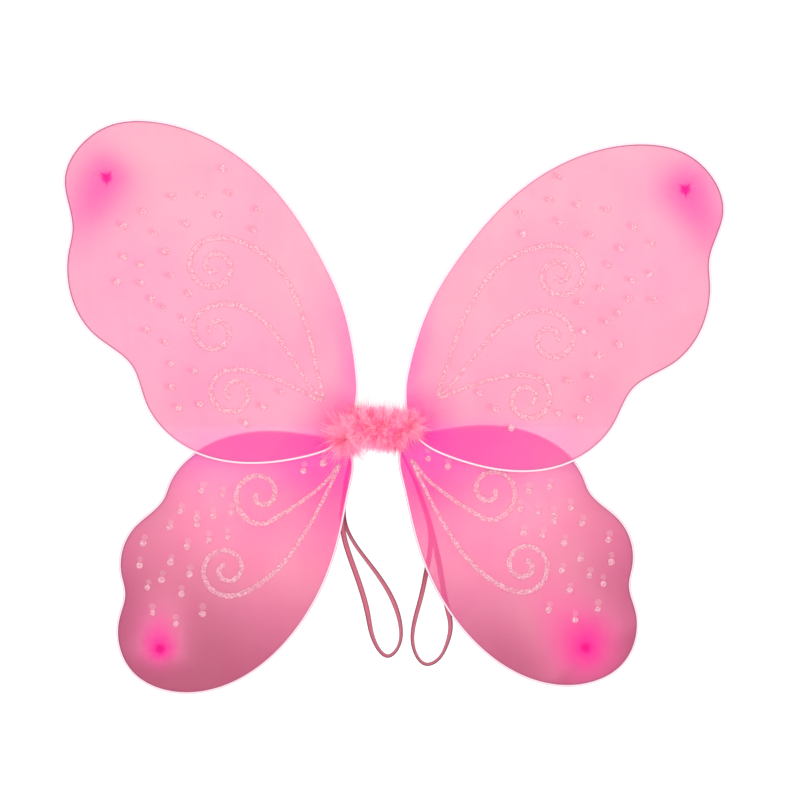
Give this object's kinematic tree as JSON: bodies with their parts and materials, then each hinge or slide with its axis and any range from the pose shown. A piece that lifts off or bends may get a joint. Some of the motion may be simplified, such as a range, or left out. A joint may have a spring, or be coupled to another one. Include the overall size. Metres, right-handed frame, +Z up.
{
  "type": "fairy wings",
  "caption": "Four-lobed dress-up fairy wings of sheer nylon stretched on wire frames, with a fluffy bridge and elastic loops worn over the arms.",
  "frame": {"origin": "centre of the back pad's rest face, which lies on the wearer's back between the shoulder blades", "axes": "+Z up, +X to the right of the decorated side, +Y towards the wearer"},
  "size_m": [0.6017, 0.0314, 0.5229],
  "materials": {
    "coated_wire": "white plastic coating over steel wire, satin",
    "sheer_nylon": "sheer pink stocking nylon, deeper pink where it is gathered",
    "pink_thread": "matte polyester thread",
    "glitter_glue": "dried glitter glue, pearly pink with silver flakes",
    "pink_tape": "matte cloth tape",
    "pink_felt": "matte felt",
    "marabou": "fluffy marabou down, soft pink",
    "elastic": "dusty rose braided elastic"
  },
  "bodies": {
    "hub": {"bridge_wires": "coated_wire", "bridge_tape": "pink_tape", "back_pad": "pink_felt", "marabou_sleeve": "marabou"},
    "left_stem": {"left_stem_wires": "coated_wire", "left_stem_tape": "pink_tape", "left_marabou_tuft": "marabou"},
    "right_stem": {"right_stem_wires": "coated_wire", "right_stem_tape": "pink_tape", "right_marabou_tuft": "marabou"},
    "upper_left_wing": {"upper_left_frame_wire": "coated_wire", "upper_left_nylon": "sheer_nylon", "upper_left_toe_tie": "pink_thread", "upper_left_neck_tie": "pink_thread", "upper_left_scroll_1": "glitter_glue", "upper_left_scroll_2": "glitter_glue", "upper_left_scroll_3": "glitter_glue", "upper_left_dots": "glitter_glue"},
    "upper_right_wing": {"upper_right_frame_wire": "coated_wire", "upper_right_nylon": "sheer_nylon", "upper_right_toe_tie": "pink_thread", "upper_right_neck_tie": "pink_thread", "upper_right_scroll_1": "glitter_glue", "upper_right_scroll_2": "glitter_glue", "upper_right_scroll_3": "glitter_glue", "upper_right_dots": "glitter_glue"},
    "lower_left_wing": {"lower_left_frame_wire": "coated_wire", "lower_left_nylon": "sheer_nylon", "lower_left_toe_tie": "pink_thread", "lower_left_neck_tie": "pink_thread", "lower_left_scroll_1": "glitter_glue", "lower_left_scroll_2": "glitter_glue", "lower_left_dots": "glitter_glue"},
    "lower_right_wing": {"lower_right_frame_wire": "coated_wire", "lower_right_nylon": "sheer_nylon", "lower_right_toe_tie": "pink_thread", "lower_right_neck_tie": "pink_thread", "lower_right_scroll_1": "glitter_glue", "lower_right_scroll_2": "glitter_glue", "lower_right_dots": "glitter_glue"},
    "left_arm_loop": {"left_strap_knot": "elastic", "left_arm_strap": "elastic"},
    "right_arm_loop": {"right_strap_knot": "elastic", "right_arm_strap": "elastic"}
  },
  "joints": [
    {"name": "left_wing_fold", "type": "hinge", "parent": "hub", "child": "left_stem", "pos_m": [-0.016, -0.00725, -0.004], "axis": [0, 0, 1], "range_deg": [-10, 70], "stiffness_Nm_per_rad": 1},
    {"name": "upper_left_spread", "type": "hinge", "parent": "left_stem", "child": "upper_left_wing", "pos_m": [-0.0224, -0.0095, -0.0026], "axis": [0, 1, 0], "range_deg": [-12, 12], "stiffness_Nm_per_rad": 2},
    {"name": "lower_left_spread", "type": "hinge", "parent": "left_stem", "child": "lower_left_wing", "pos_m": [-0.0224, -0.005, -0.0046], "axis": [0, -1, 0], "range_deg": [-12, 12], "stiffness_Nm_per_rad": 2},
    {"name": "left_arm_loop_swing", "type": "hinge", "parent": "left_stem", "child": "left_arm_loop", "pos_m": [-0.018, -0.00725, -0.004], "axis": [1, 0, 0], "range_deg": [0, 90]},
    {"name": "right_wing_fold", "type": "hinge", "parent": "hub", "child": "right_stem", "pos_m": [0.016, -0.00725, -0.004], "axis": [0, 0, -1], "range_deg": [-10, 70], "stiffness_Nm_per_rad": 1},
    {"name": "upper_right_spread", "type": "hinge", "parent": "right_stem", "child": "upper_right_wing", "pos_m": [0.0224, -0.0095, -0.0026], "axis": [0, -1, 0], "range_deg": [-12, 12], "stiffness_Nm_per_rad": 2},
    {"name": "lower_right_spread", "type": "hinge", "parent": "right_stem", "child": "lower_right_wing", "pos_m": [0.0224, -0.005, -0.0046], "axis": [0, 1, 0], "range_deg": [-12, 12], "stiffness_Nm_per_rad": 2},
    {"name": "right_arm_loop_swing", "type": "hinge", "parent": "right_stem", "child": "right_arm_loop", "pos_m": [0.018, -0.00725, -0.004], "axis": [1, 0, 0], "range_deg": [0, 90]}
  ]
}
